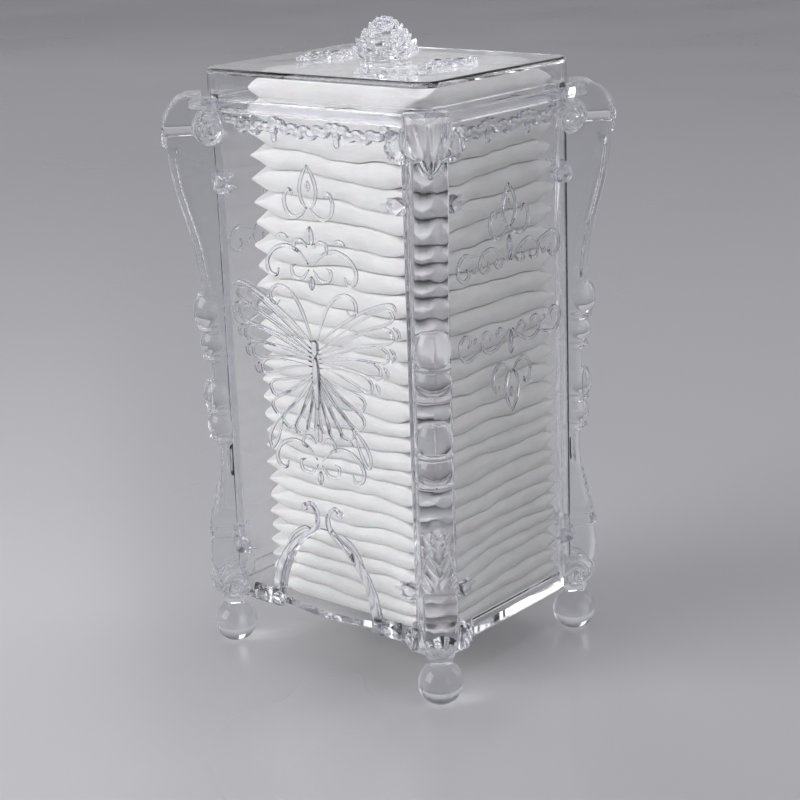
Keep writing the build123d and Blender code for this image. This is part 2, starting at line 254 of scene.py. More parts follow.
CURL_STEPS = 14  # points in one turn of a scroll
CURL_END = 0.3  # radius where a scroll ends, as a share of where it begins


def curl(centre, radius, begin, turns):
    """Points of a scroll that winds in from a radius; begin in degrees, turns signed."""
    count = max(6, int(CURL_STEPS * abs(turns)))
    out = []
    for k in range(count + 1):
        t = k / count
        r = radius * (1 - (1 - CURL_END) * t)
        a = math.radians(begin) + t * turns * math.tau
        out.append((centre[0] + r * math.cos(a), centre[1] + r * math.sin(a)))
    return out


def tube_faces(count, around, first=0):
    """Faces of a closed tube of count rings with around points each."""
    faces = []
    for i in range(count - 1):
        for k in range(around):
            a, b = first + i * around + k, first + i * around + (k + 1) % around
            faces.append((a, b, b + around, a + around))
    faces.append(tuple(first + k for k in reversed(range(around))))
    faces.append(tuple(first + (count - 1) * around + k for k in range(around)))
    return faces


LINE_AROUND = 8  # points round a raised line
LINE_END = 0.35  # a raised line thins to this share at its ends
LINE_SWELL = 1.6  # and is full again after about a fifth of its length


def add_ribbon(verts, faces, path, width, height, place):
    """A raised line of elliptic section along a path in a panel's plane, thinned at both ends."""
    count = len(path)
    first = len(verts)
    for i, p in enumerate(path):
        ahead = path[min(i + 1, count - 1)] - path[max(i - 1, 0)]
        side = Vector((-ahead.y, ahead.x)).normalized() if ahead.length else Vector((1, 0))
        t = i / (count - 1)
        full = LINE_END + (1 - LINE_END) * min(1.0, math.sin(math.pi * t) * LINE_SWELL)
        for k in range(LINE_AROUND):
            a = math.tau * k / LINE_AROUND
            flat = p + side * (0.5 * width * full * math.cos(a))
            verts.append(place(flat.x, flat.y, 0.5 * height * full * math.sin(a)))
    faces += tube_faces(count, LINE_AROUND, first)


def relief(name, lines, place):
    """Raised line work; lines are (points, width, height), drawn on one half and mirrored."""
    verts, faces = [], []
    for points, width, height in lines:
        path = smooth_path([Vector(p) for p in points])
        add_ribbon(verts, faces, path, width, height, place)
        if any(abs(p.x) > 0.05 for p in path):
            mirrored = [Vector((-p.x, p.y)) for p in path]
            add_ribbon(verts, faces, mirrored, width, height, place)
    fix_normals(case_piece(name, verts, faces, CLEAR_LINE))


def fix_normals(obj):
    """Turns all faces outwards."""
    bm = bmesh.new()
    bm.from_mesh(obj.data)
    bmesh.ops.recalc_face_normals(bm, faces=bm.faces)
    bm.to_mesh(obj.data)
    bm.free()


# ---- cotton pads
PAD_NAMES = sorted(n for n in nodes if n.startswith("cotton_pad_"))
PAD_AROUND = 176  # points round a pad's outline
PAD_RINGS = 10  # rings of points from the outline to the middle
PAD_RING_SPREAD = 1.8  # over 1, the rings crowd towards the outline
PAD_CORNER_POWER = 26.0  # how square the outline is
PAD_EAR_REACH = 6.5  # the pinch at a corner reaches this far in, mm
PAD_EDGE_REACH = 1.3  # and the soft edge between the corners this far
PAD_EAR_SPAN = (0.7, 0.95)  # where along a side the drawn-out corner begins, and where it is thinnest
PAD_FULL = 0.985  # thickness of the full pad, as a share of its room
PAD_PINCHED = 0.06  # and of its drawn-out corners
PAD_WALLS = (0.95, 0.88)  # and of its edge on the left and right, and on the front and back
PAD_CREASE = 0.09  # creases take up to this much off the edge
PAD_GAP = 0.1  # between two pads in the CAD, mm
PAD_LEAN = 1.1  # the drawn-out corners lean up or down by up to this, mm
# the waves that two neighbouring pads share: how quickly they change along a pad and up the stack,
# where in the noise they are taken, and their height in mm
SHARED_WAVES = [(0.028, 0.05, (3.0, 0.0), 2.1), (0.07, 0.23, (7.0, 0.0), 1.4),
                (0.19, 0.7, (0.0, 5.0), 0.5)]


def shared_wave(x, y, level):
    """Height of the face two neighbouring pads share, off their CAD level, in mm."""
    return sum(height * noise.noise(Vector((x * fine + across, y * fine + along, level * change)))
               for fine, change, (across, along), height in SHARED_WAVES)


def pad_edge(angle, number):
    """Unit outline of a pad: square with its corners drawn out, and how near the point is to a corner."""
    c, s = math.cos(angle), math.sin(angle)
    reach = (abs(c) ** PAD_CORNER_POWER + abs(s) ** PAD_CORNER_POWER) ** (-1 / PAD_CORNER_POWER)
    x, y = c * reach, s * reach
    begin, end = PAD_EAR_SPAN
    ear = min(1.0, max(0.0, (min(abs(x), abs(y)) - begin) / (end - begin)))
    wave = noise.noise(Vector((x * 1.7, y * 1.7, number * 3.7)))
    nick = noise.noise(Vector((x * 7.0, y * 7.0, number * 1.9)))
    corner = noise.noise(Vector((math.copysign(5.3, x), math.copysign(2.9, y), number * 2.7)))
    tip = min(abs(x), abs(y)) ** 16
    pull = 1.0 - (1 - tip) * (0.018 + 0.014 * wave) - tip * (0.01 + 0.075 * abs(corner)) + 0.005 * nick
    return x * min(pull, 1.0), y * min(pull, 1.0), ear


def pad_fullness(x, y, ear, inset, number):
    """Share of its room that a pad fills at a point, and how far its corner leans there."""
    reach = PAD_EDGE_REACH + (PAD_EAR_REACH - PAD_EDGE_REACH) * ear
    inwards = min(1.0, inset / reach)
    full = (1 - ear) * math.sqrt(1 - (1 - inwards) ** 2) + ear * inwards
    crease = 0.5 + noise.noise(Vector((x * 4.0, y * 4.0, number * 1.3)))
    wall = PAD_WALLS[0] if abs(x) > abs(y) else PAD_WALLS[1]
    edge = (wall - PAD_CREASE * crease) * (1 - ear) + PAD_PINCHED * ear
    lean = PAD_LEAN * ear * (1 - full) * noise.noise(Vector((number * 2.3, x * 3, y * 3)))
    return edge + (PAD_FULL - edge) * full, lean


def pad_faces():
    """Faces of a pad: rings of the upper face, rings of the lower face, and the band between them."""
    faces = []
    block = PAD_RINGS * PAD_AROUND + 1
    for side, base in ((1, 0), (-1, block)):
        for ring in range(PAD_RINGS):
            for k in range(PAD_AROUND):
                a, b = base + ring * PAD_AROUND + k, base + ring * PAD_AROUND + (k + 1) % PAD_AROUND
                last = ring == PAD_RINGS - 1
                face = (a, b, base + block - 1) if last else (a, b, b + PAD_AROUND, a + PAD_AROUND)
                faces.append(face if side > 0 else face[::-1])
    for k in range(PAD_AROUND):
        a, b = k, (k + 1) % PAD_AROUND
        faces.append((b, a, block + a, block + b))
    return faces


def cotton_pad(name, number):
    """One pressed pad between the two faces it shares, full in the middle, its corners pinched thin."""
    low, high = (Vector(c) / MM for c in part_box(name))
    middle, half = (low + high) / 2, (high - low) / 2
    bottom, top = number == 1, number == len(PAD_NAMES)

    def between(x, y):
        under = low.z + (0 if bottom else shared_wave(x, y, low.z))
        over = high.z + (0 if top else shared_wave(x, y, high.z + PAD_GAP))
        return (under + over) / 2, (over - under) / 2

    outline = [pad_edge(math.tau * k / PAD_AROUND, number) for k in range(PAD_AROUND)]
    verts = []
    for side in (1, -1):
        for ring in range(PAD_RINGS):
            share = 1 - (ring / PAD_RINGS) ** PAD_RING_SPREAD
            for x, y, ear in outline:
                px, py = middle.x + x * half.x * share, middle.y + y * half.y * share
                fullness, lean = pad_fullness(x, y, ear, (1 - share) * half.y, number)
                mid, thick = between(px, py)
                verts.append(Vector((px, py, mid + lean + side * thick * fullness)) * MM)
        mid, thick = between(middle.x, middle.y)
        verts.append(Vector((middle.x, middle.y, mid + side * thick * PAD_FULL)) * MM)
    pad = case_piece("pressed_" + name, verts, pad_faces(), COTTON)
    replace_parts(pad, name)


for number, name in enumerate(PAD_NAMES, start=1):
    cotton_pad(name, number)


# ---- clear mouldings kept from the CAD
def finish_for(name):
    """The clear finish of a CAD node."""
    if name.startswith("lid_"):
        return CLEAR_LID if name == "lid_cover" else CLEAR_CAST
    if name.endswith("_panel") or name == "floor_plate":
        return CLEAR_SHEET
    return CLEAR_CAST


for name, obj in nodes.items():
    if not name.startswith("cotton_pad_"):
        dress(obj, finish_for(name))


# ---- soft-edged mouldings
def mesh_arrays(mesh):
    """A mesh's points and normals as arrays."""
    points = np.empty(len(mesh.vertices) * 3, np.float32)
    normals = np.empty(len(mesh.vertices) * 3, np.float32)
    mesh.vertices.foreach_get("co", points)
    mesh.vertices.foreach_get("normal", normals)
    return points.reshape(-1, 3).astype(float), normals.reshape(-1, 3).astype(float)


def moulded_mesh(name, forms, voxel, smoothing, carve=None):
    """One moulding from forms that overlap: melted together, softened, then carved point by point.
    Forms are (points in mm, faces); the mesh comes back in mm about the same place."""
    verts, faces = [], []
    for points, polys in forms:
        first = len(verts)
        verts += [tuple(p) for p in points]
        faces += [tuple(first + i for i in poly) for poly in polys]
    rough = bpy.data.meshes.new(name + "_rough")
    rough.from_pydata(verts, [], faces)
    obj = new_object(name + "_rough", rough)
    melt = obj.modifiers.new("melt", "REMESH")
    melt.mode = "VOXEL"
    melt.voxel_size = voxel
    soften = obj.modifiers.new("soften", "SMOOTH")
    soften.factor = 0.5
    soften.iterations = smoothing
    graph = bpy.context.evaluated_depsgraph_get()
    mesh = bpy.data.meshes.new_from_object(obj.evaluated_get(graph))
    mesh.name = name
    bpy.data.objects.remove(obj)
    if carve:
        points, normals = mesh_arrays(mesh)
        mesh.vertices.foreach_set("co", carve(points, normals).astype(np.float32).ravel())
    mesh.polygons.foreach_set("use_smooth", [True] * len(mesh.polygons))
    mesh.update()
    return mesh


def place_mesh(name, mesh, matrix, body, stands_for):
    """A copy of a clear moulding in mm, put in its place in metres, standing for a CAD node."""
    copy = mesh.copy()
    copy.transform(matrix @ Matrix.Scale(MM, 4))
    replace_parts(riding_piece(name, copy, CLEAR_CAST, body), stands_for)


def cad_form(name, to_local):
    """A CAD node's own surface, in mm in a piece's local frame, its seams closed."""
    seam = 1e-6
    bm = bmesh.new()
    bm.from_mesh(nodes[name].data)
    bmesh.ops.remove_doubles(bm, verts=bm.verts, dist=seam)
    bm.transform(Matrix.Scale(1 / MM, 4) @ to_local)
    form = [tuple(v.co) for v in bm.verts], [tuple(v.index for v in f.verts) for f in bm.faces]
    bm.free()
    return form


def ball(centre, radii, rows=14, around=20):
    """A closed ellipsoid as a form."""
    points = [(centre[0], centre[1], centre[2] + radii[2])]
    for i in range(1, rows):
        a = math.pi * i / rows
        for k in range(around):
            b = math.tau * k / around
            points.append((centre[0] + radii[0] * math.sin(a) * math.cos(b),
                           centre[1] + radii[1] * math.sin(a) * math.sin(b),
                           centre[2] + radii[2] * math.cos(a)))
    points.append((centre[0], centre[1], centre[2] - radii[2]))
    faces = [(0, 1 + k, 1 + (k + 1) % around) for k in range(around)]
    for i in range(rows - 2):
        for k in range(around):
            a, b = 1 + i * around + k, 1 + i * around + (k + 1) % around
            faces.append((a, a + around, b + around, b))
    end = len(points) - 1
    faces += [(end, end - around + (k + 1) % around, end - around + k) for k in range(around)]
    return points, faces


ROD_AROUND = 12


def rod(path, radii):
    """A tapering rod along a path in space, as a form."""
    points = []
    count = len(path)
    for i, p in enumerate(path):
        ahead = (Vector(path[min(i + 1, count - 1)]) - Vector(path[max(i - 1, 0)])).normalized()
        side = ahead.cross(Vector((0, 0, 1)))
        side = side.normalized() if side.length > 0.05 else Vector((1, 0, 0))
        over = side.cross(ahead)
        radius = radii[0] + (radii[1] - radii[0]) * i / (count - 1)
        for k in range(ROD_AROUND):
            a = math.tau * k / ROD_AROUND
            x, y = radius * math.cos(a), radius * math.sin(a)
            points.append(tuple(Vector(p) + side * x + over * y))
    return points, tube_faces(count, ROD_AROUND)


def shell_faces(rows, columns, turned=False):
    """Faces of a thin closed shell: a grid of points, the same grid again behind it, and its edge."""
    row, block = columns + 1, (rows + 1) * (columns + 1)
    faces = []
    for i in range(rows):
        for k in range(columns):
            a = i * row + k
            front = (a, a + 1, a + row + 1, a + row)
            rear = (block + a + row, block + a + row + 1, block + a + 1, block + a)
            faces += [front, rear]
    rim = list(range(row)) + [i * row + columns for i in range(1, rows + 1)]
    rim += [rows * row + k for k in range(columns - 1, -1, -1)]
    rim += [i * row for i in range(rows - 1, 0, -1)]
    faces += [(b, a, block + a, block + b) for a, b in zip(rim, rim[1:] + rim[:1])]
    return [(c, b, a, d) for a, b, c, d in faces] if turned else faces


# ---- corner posts
# Drawn about a post's own corner: out along +X, across along Y, and height over the table, all in mm.
CORNERS = {"front_left": (-1, -1), "front_right": (1, -1), "back_left": (-1, 1), "back_right": (1, 1)}
CROWN_SCROLL = (-4.0, 6.1, 152.3)  # out, across, height
FOOT_SCROLL = (-3.5, 4.5, 19.4)
CROWN_VOLUTE = (4.2, 1.75, 1.0)  # radius of the winding, its pitch and its depth
FOOT_VOLUTE = (4.7, 1.9, 1.1)
THORN_HEIGHTS = (137.0, 32.0)
THORN_PRONGS = ((0.0, 6.6), (1.9, 4.2), (-1.9, 4.2))  # rise and length of each prong
THORN_RADII = (1.5, 0.35)
COLLAR_BEAD = (-3.2, 8.4, 155.6)  # small leaf under the collar on both sides
FILLETS = ((95.4, 2.4), (71.3, 1.5), (86.9, 1.6), (63.0, 1.0))  # height and reach of the rings
FOOT_SHELL = ((0.6, 0, 19.6), (2.9, 4.4, 5.0))
# stretches of the post that are carved alike: from, to, and how softly the carving begins and ends
UPPER_SHANK = (106, 147, 3, 3)
LOWER_SHANK = (52, 62, 2, 2)
CROWN_LEAF = (146.5, 159.5, 1.0, 1.5)
KNEE_LEAF = (34.5, 50.5, 0.8, 1.0)
SHELL = (14.5, 26.0, 1.0, 2.0)
BEADED = (63, 105, 1, 1)
CARVED_BEADS = ((91.2, 7.0), (67.0, 7.6))  # middle and height of the beads with a leaf line cut in
CROWN_RIBS = (1.9, 4.2)  # how far out each rib of the crown leaf ends
ANKLE_FOOT, ANKLE_TOP = 12.0, 16.5
ANKLE_WAIST = 0.36  # the ankle draws in by this share
PROFILE_FOOT, PROFILE_STEP, PROFILE_STEPS = 10, 0.5, 321  # the side view is read off in steps of height


def corner_frame(side_x, side_y):
    """From a post's own frame, outwards along +X and across along Y, to the case, in metres."""
    corner = Vector((side_x * SIDE_FACE, side_y * FRONT_FACE, 0))
    return Matrix.Translation(corner) @ Matrix.Rotation(math.atan2(side_y, side_x), 4, "Z")


def groove(distance, width):
    """1 on a line, falling smoothly to 0 at its width."""
    near = np.clip(1 - np.abs(distance) / width, 0, 1)
    return near ** 2 * (3 - 2 * near)


def within(values, low, high, rise, fall):
    """1 between two values, running up over rise and down over fall."""
    return np.clip((values - low) / rise, 0, 1) * np.clip((high - values) / fall, 0, 1)


def volute(points, move, centre, winding):
    """Winds a scroll's groove into both cheeks of the post."""
    reach, pitch, depth = winding
    out, across, height = points.T
    du, dz = out - centre[0], height - centre[2]
    radius = np.hypot(du, dz)
    turn = np.arctan2(dz, du) / math.tau
    phase = (radius / pitch - turn) % 1.0
    band = groove(phase - 0.5, 0.36) * np.clip((reach - radius) / 0.8, 0, 1) * np.clip(radius / 0.6, 0, 1)
    cheek = np.clip((np.abs(across) - centre[1] + 0.5) / 1.5, 0, 1)
    move[:, 1] -= np.sign(across) * depth * band * cheek


def behind_profile(out, across, height):
    """How far each point lies behind the post's outermost line at its height."""
    steps = np.clip(((height - PROFILE_FOOT) / PROFILE_STEP).astype(int), 0, PROFILE_STEPS - 1)
    profile = np.full(PROFILE_STEPS, -9.0)
    np.maximum.at(profile, steps, np.where(np.abs(across) < 1.2, out, -9.0))
    return profile[steps] - out


def carve_post(points, normals):
    """Scrolls, leaf ribs, flutes and fillets cut into the melted post."""
    out, across, height = points.T
    aside = np.abs(across)
    move = np.zeros_like(points)
    volute(points, move, CROWN_SCROLL, CROWN_VOLUTE)
    volute(points, move, FOOT_SCROLL, FOOT_VOLUTE)
    face = np.clip((normals[:, 0] - 0.5) / 0.3, 0, 1)
    shank = np.maximum(within(height, *UPPER_SHANK), within(height, *LOWER_SHANK))
    cheeks = np.clip((aside - 4.0) / 0.5, 0, 1)
    depth = 0.55 * groove(behind_profile(out, across, height) - 2.6, 1.0) * shank * cheeks
    depth += 0.5 * groove(across, 3.1) * shank * face
    crown = within(height, *CROWN_LEAF) * face
    depth -= 0.45 * groove(across, 0.9) * crown
    for rib in CROWN_RIBS:
        depth += 0.4 * groove(aside - rib * (height - 144) / 9.0, 0.7) * crown
    knee = within(height, *KNEE_LEAF) * face
    veins = ((height - 1.3 * aside) / 3.3) % 1.0
    depth += 0.45 * groove(veins - 0.5, 0.3) * knee - 0.35 * groove(across, 0.8) * knee
    shell = within(height, *SHELL) * face
    fan = np.arctan2(across, height - 11.5)
    depth += 0.5 * (0.5 - 0.5 * np.cos(fan * 13)) * shell * np.clip((4.6 - aside) / 0.8, 0, 1)
    for middle, size in CARVED_BEADS:
        smile = height - (middle - size / 2 + 1.3) - 0.16 * across ** 2 / 2
        depth += 0.4 * groove(smile, 0.9) * face
    depth += 0.3 * groove(across, 0.5) * face * within(height, *BEADED)
    narrow = 1 - np.clip((height - ANKLE_FOOT) / (ANKLE_TOP - ANKLE_FOOT), 0, 1)
    move[:, 1] -= across * narrow * ANKLE_WAIST * np.clip((ANKLE_TOP - height) / 0.5, 0, 1)
    return points + move - normals * depth[:, None]


def post_forms():
    """The post's solid from the CAD with its thorns, small leaves, fillets and foot shell."""
    to_local = corner_frame(1, -1).inverted()
    forms = [cad_form("corner_post_front_right", to_local)]
    lean = math.sqrt(0.5)
    for side in (-1, 1):
        for height in THORN_HEIGHTS:
            root = Vector((-5.6, side * 6.6, height))
            for rise, length in THORN_PRONGS:
                tip = root + Vector((-lean * length, side * lean * length, rise))
                bend = root.lerp(tip, 0.5) + Vector((0, 0, 0.2 * rise))
                forms.append(rod([root, bend, tip], THORN_RADII))
        out, across, height = COLLAR_BEAD
        forms.append(ball((out, side * across, height), (1.9, 1.9, 1.5)))
    for height, reach in FILLETS:
        forms.append(ball((reach - 4.4, 0, height), (4.9, 5.2, 0.9)))
    forms.append(ball(*FOOT_SHELL))
    return forms


def corner_posts():
    """The four carved posts, from one mesh."""
    mesh = moulded_mesh("corner_post", post_forms(), voxel=0.36, smoothing=5, carve=carve_post)
    for name, sides in CORNERS.items():
        place_mesh("carved_post_" + name, mesh, corner_frame(*sides), "case", "corner_post_" + name)


# ---- line drawings of the ornament, mm
# Each line is (points, width, height); points run across and up, drawn for one half and mirrored.
FLEUR = [
    ([(0, 14.4), (1.9, 11.4), (2.9, 7.9), (2.3, 4.9), (0.9, 2.8)], 1.05, 1.3),
    ([(0.5, 3.0), (2.6, 1.0), (5.4, 0.2), (7.9, 1.8), (8.6, 4.6), (7.6, 7.0), (6.1, 7.3), (5.6, 6.0)],
     1.1, 1.3),
    ([(0, 10.2), (0.6, 8.8), (0, 7.4)], 0.8, 0.6),
]
SCROLLS = [
    ([(0, 9.2), (0.7, 6.6), (0.4, 4.2)], 1.2, 1.3),
    ([(1.0, -1.2), (4.4, 2.0), (9.0, 3.2), (13.4, 1.6), (15.8, -1.6), (15.2, -4.6), (12.8, -5.4),
      (11.8, -3.4)], 1.2, 1.3),
    ([(1.2, 3.4), (3.2, 5.2), (5.4, 4.6), (5.8, 2.6), (4.2, 1.9)], 1.0, 1.15),
    ([(0.8, -2.6), (3.2, -5.2), (6.2, -5.0), (7.0, -2.6), (5.4, -1.6)], 1.0, 1.15),
    ([(0, -4.4), (0.5, -6.2), (0, -8.2)], 1.1, 1.25),
    ([(7.8, 5.4), (10.2, 6.2), (12.4, 5.2)], 0.9, 1.0),
]
BAND = [
    ([(0, 5.4), (0.5, 2.6), (0, -1.4)], 1.1, 1.25),
    ([(0.8, -1.6), (4.0, 1.0), (8.0, 3.0), (11.8, 2.2), (13.2, -0.4), (11.8, -2.8), (9.4, -2.2),
      (9.6, -0.2)], 1.1, 1.25),
    ([(12.6, 1.6), (16.0, 2.4), (19.8, 3.2), (22.6, 1.0), (22.6, -2.0), (20.2, -3.6), (18.0, -2.2),
      (19.2, -0.4)], 1.1, 1.25),
    ([(2.2, -0.6), (4.6, -2.6), (6.4, -1.6), (5.4, -0.2)], 0.95, 1.1),
    ([(14.2, -0.6), (15.6, -2.0), (16.6, -0.9)], 0.9, 1.0),
]
ANTENNA = ([(0.8, 7.4), (2.4, 11.8), (4.8, 17.0), (8.4, 20.8), (12.2, 21.8), (14.9, 20.3), (15.2, 17.6),
            (13.4, 16.4), (12.0, 17.6)], 1.0, 1.2)
WING_TAIL = ([(13.2, -15.6), (16.4, -18.6), (18.4, -22.6), (17.6, -25.4), (15.4, -22.6), (13.2, -17.4)],
             1.0, 1.2)
WING_EDGE = ([(1.0, 7.0), (8.0, 12.4), (16.0, 17.2), (23.0, 20.2), (27.6, 21.2), (29.2, 19.6)], 1.0, 1.2)
BUTTERFLY_HEAD = ([(0, 8.0), (0, 5.8), (0, 3.4)], 2.6, 1.7)
BUTTERFLY_BODY = ([(0, 3.2), (0, -4.0), (0, -11.6)], 2.6, 1.7)
# the cells of a wing: root across and up, lean in degrees, length, width
UPPER_CELLS = [(1.2, 5.2, 27, 29.6, 4.0), (1.3, 4.0, 19, 27.6, 4.4), (1.4, 2.8, 10, 24.6, 4.4),
               (1.4, 1.6, 1, 21.6, 4.2), (1.4, 0.3, -9, 18.6, 3.8)]
LOWER_CELLS = [(1.2, -1.4, -24, 17.0, 4.4), (1.2, -2.4, -38, 18.8, 4.8), (1.1, -3.4, -53, 18.0, 4.6),
               (1.0, -4.6, -67, 15.4, 4.0), (0.9, -6.0, -80, 12.0, 3.0)]
CELL_SIDE = [(0, 0), (0.3, 0.14), (0.62, 0.36), (0.88, 0.5), (0.985, 0.3)]  # shares of length and width
UPPER_BOW, LOWER_BOW = 0.9, -0.5
VEIN_WIDTH, VEIN_HEIGHT = 0.85, 1.25
SCALLOP_GAP = 2.4  # the small arcs stand this far off the ends of the upper cells
SCALLOP_SHARE = 0.46  # half their width, as a share of the cell's
SCALLOP_SAG = 1.3
GARLAND_SPAN = 27.5  # the swags run this far to each side under the collar
GARLAND_SIDE_SHARE = 0.8  # and this much of it on the narrower walls
GARLAND_SAG = 2.2
GARLAND_BELOW_TOP = 1.5
GARLAND_JOINT = 0.4  # the two inner joints, as a share of the span
GARLAND_LEAF_STEP = 2.3
HANGING_LEAF = ((0.2, 1.9), (2.3, 1.5), (4.2, 0.9))  # drop and half width of its three lumps
ARCH_LEG = [(18.9, 0.6), (18.3, 6.0), (16.9, 11.6), (13.8, 17.4), (9.2, 22.2), (5.0, 25.0), (2.6, 27.4),
            (1.8, 30.0), (2.5, 32.4), (4.4, 33.8), (6.2, 33.2)]
ARCH_LEAF = ([(14.6, 18.4), (11.6, 23.2), (7.6, 26.0), (5.0, 26.4)], 1.1, 0.9)
ARCH_BEAD = ((6.4, 32.6), (1.15, 1.15, 1.0))  # middle across and up, and radii
# heights of the drawings' middles over the table
FRONT_HEIGHTS = {"fleur": 130.6, "scrolls_upper": 119.4, "butterfly": 89.4, "scrolls_lower": 64.4}
SIDE_HEIGHTS = {"fleur_upper": 124.0, "band_upper": 119.0, "band_lower": 97.0, "fleur_lower": 89.8}


def cell(root, lean, length, width, bow):
    """One cell of a wing: two bowed veins from the root that meet in a round end."""
    along = Vector((math.cos(math.radians(lean)), math.sin(math.radians(lean))))
    aside = Vector((-along.y, along.x))
    shape = CELL_SIDE + [(1, 0)] + [(t, -s) for t, s in reversed(CELL_SIDE)]
    return [tuple(Vector(root) + along * (length * t) + aside * (width * s + 4 * bow * t * (1 - t)))
            for t, s in shape]


def scallop(root, lean, reach, width):
    """A small arc standing off the end of a cell."""
    out = []
    for t in (-1, -0.5, 0, 0.5, 1):
        a = math.radians(lean) + t * width / reach
        r = reach - SCALLOP_SAG * t * t
        out.append((root[0] + r * math.cos(a), root[1] + r * math.sin(a)))
    return out


def butterfly():
    """A plain butterfly with open wings, about the middle of its body."""
    lines = [ANTENNA, WING_TAIL, WING_EDGE, BUTTERFLY_HEAD, BUTTERFLY_BODY]
    veins = []
    for n, (x, z, lean, length, width) in enumerate(UPPER_CELLS):
        veins.append(cell((x, z), lean, length, width, UPPER_BOW))
        if n:
            veins.append(scallop((x, z), lean, length + SCALLOP_GAP, width * SCALLOP_SHARE))
    for x, z, lean, length, width in LOWER_CELLS:
        veins.append(cell((x, z), lean, length, width, LOWER_BOW))
    return lines + [(points, VEIN_WIDTH, VEIN_HEIGHT) for points in veins]


def shifted(lines, up, flip=1):
    """The lines moved up, and turned head over heels where flip is -1."""
    return [([(x, flip * z + up) for x, z in points], width, height) for points, width, height in lines]


def on_front(x, z, out):
    """A point on the front's drawing plane, in metres."""
    return (x * MM, -FRONT_FACE - out * MM, z * MM)


def on_side(sign):
    """Drawing plane of a side panel: across runs to the right as that side is looked at."""
    def place(across, z, out):
        return (sign * (SIDE_FACE + out * MM), sign * across * MM, z * MM)
    return place


def on_back(x, z, out):
    """A point on the back's drawing plane."""
    return (-x * MM, FRONT_FACE + out * MM, z * MM)


def garland(name, span, place):
    """Swags of small overlapping leaves hung under the collar, with a hanging leaf at each joint."""
    forms = []
    joints = (-span, -span * GARLAND_JOINT, span * GARLAND_JOINT, span)
    top = PANEL_TOP / MM - GARLAND_BELOW_TOP
    for left, right in zip(joints, joints[1:]):
        count = max(4, round((right - left) / GARLAND_LEAF_STEP))
        for n in range(count + 1):
            t = n / count
            x, sag = left + (right - left) * t, GARLAND_SAG * 4 * t * (1 - t)
            size = 1.05 + 0.35 * math.sin(math.pi * t)
            lift = 0.5 if n % 2 else -0.4
            forms.append(ball((x, top - sag + lift, 0.1), (1.95 * size, 1.2 * size, 0.95), 8, 12))
    for x in joints[1:3]:
        for drop, half in HANGING_LEAF:
            forms.append(ball((x, top - drop, 0.1), (half, 1.5, 1.0), 8, 12))
    mesh = moulded_mesh(name, forms, voxel=0.3, smoothing=2)
    points, _ = mesh_arrays(mesh)
    mesh.vertices.foreach_set("co", np.array([place(*p) for p in points], np.float32).ravel())
    mesh.update()
    fix_normals(riding_piece(name, mesh, CLEAR_CAST, "case"))


def reliefs():
    """All line work and swags on the four walls."""
    for name, lines in (("fleur", FLEUR), ("scrolls_upper", SCROLLS), ("butterfly", butterfly()),
                        ("scrolls_lower", SCROLLS)):
        relief("front_" + name, shifted(lines, FRONT_HEIGHTS[name]), on_front)
    garland("front_garland", GARLAND_SPAN, on_front)
    for side, sign in (("right_", 1), ("left_", -1)):
        for name, lines, flip in (("fleur_upper", FLEUR, 1), ("band_upper", BAND, 1),
                                  ("band_lower", BAND, -1), ("fleur_lower", FLEUR, -1)):
            relief(side + name, shifted(lines, SIDE_HEIGHTS[name], flip), on_side(sign))
        garland(side + "garland", GARLAND_SPAN * GARLAND_SIDE_SHARE, on_side(sign))
    garland("back_garland", GARLAND_SPAN, on_back)


def arch_moulding():
    """The round bars up both sides of the mouth, thick at the foot, with a hook and a bead at the end."""
    verts, faces = [], []
    for side in (-1, 1):
        path = smooth_path([Vector((side * x, z + FOOT / MM)) for x, z in ARCH_LEG], 8)
        first, count = len(verts), len(path)
        for i, p in enumerate(path):
            ahead = (path[min(i + 1, count - 1)] - path[max(i - 1, 0)]).normalized()
            aside = Vector((-ahead.y, ahead.x))
            t = i / (count - 1)
            wide = 4.7 - 3.5 * min(1.0, t / 0.72) ** 0.8
            tall = 1.25 - 0.45 * t
            for k in range(ROD_AROUND):
                a = math.tau * k / ROD_AROUND
                flat = p + aside * (0.5 * wide * math.cos(a))
                verts.append(on_front(flat.x, flat.y, tall * math.sin(a)))
        faces += tube_faces(count, ROD_AROUND, first)
        (x, z), radii = ARCH_BEAD
        points, polys = ball((side * x, z + FOOT / MM, 0), radii, 10, 14)
        start = len(verts)
        verts += [on_front(x, z, out) for x, z, out in points]
        faces += [tuple(start + i for i in poly) for poly in polys]
    fix_normals(case_piece("arch_moulding", verts, faces, CLEAR_CAST))
    relief("arch_leaves", shifted([ARCH_LEAF], FOOT / MM), on_front)


# ---- front wall with its plain mouth
# the mouth's right side from the foot to the point, over the panel's foot: two ends and two pulls between
MOUTH_SIDE = ((17.6, 0), (16.4, 12.0), (10.6, 23.7), (0, 27.2))
MOUTH_STEPS = 18
WALL_EDGE_ROUND = 0.35
RAIL_HALF_HEIGHT = 2.65
RAIL_RISE, RAIL_SINK = 1.1, 0.02  # how far it stands off the wall and is let into it
RAIL_STEPS = 14
RAIL_TO_CORNER = 13.4
RAIL_TO_MOUTH = 18.0


def bezier(a, b, c, d, steps):
    """Points of one cubic curve."""
    a, b, c, d = (Vector(p) for p in (a, b, c, d))
    return [a * (1 - t) ** 3 + b * (3 * t * (1 - t) ** 2) + c * (3 * t * t * (1 - t)) + d * t ** 3
            for t in (k / steps for k in range(steps + 1))]


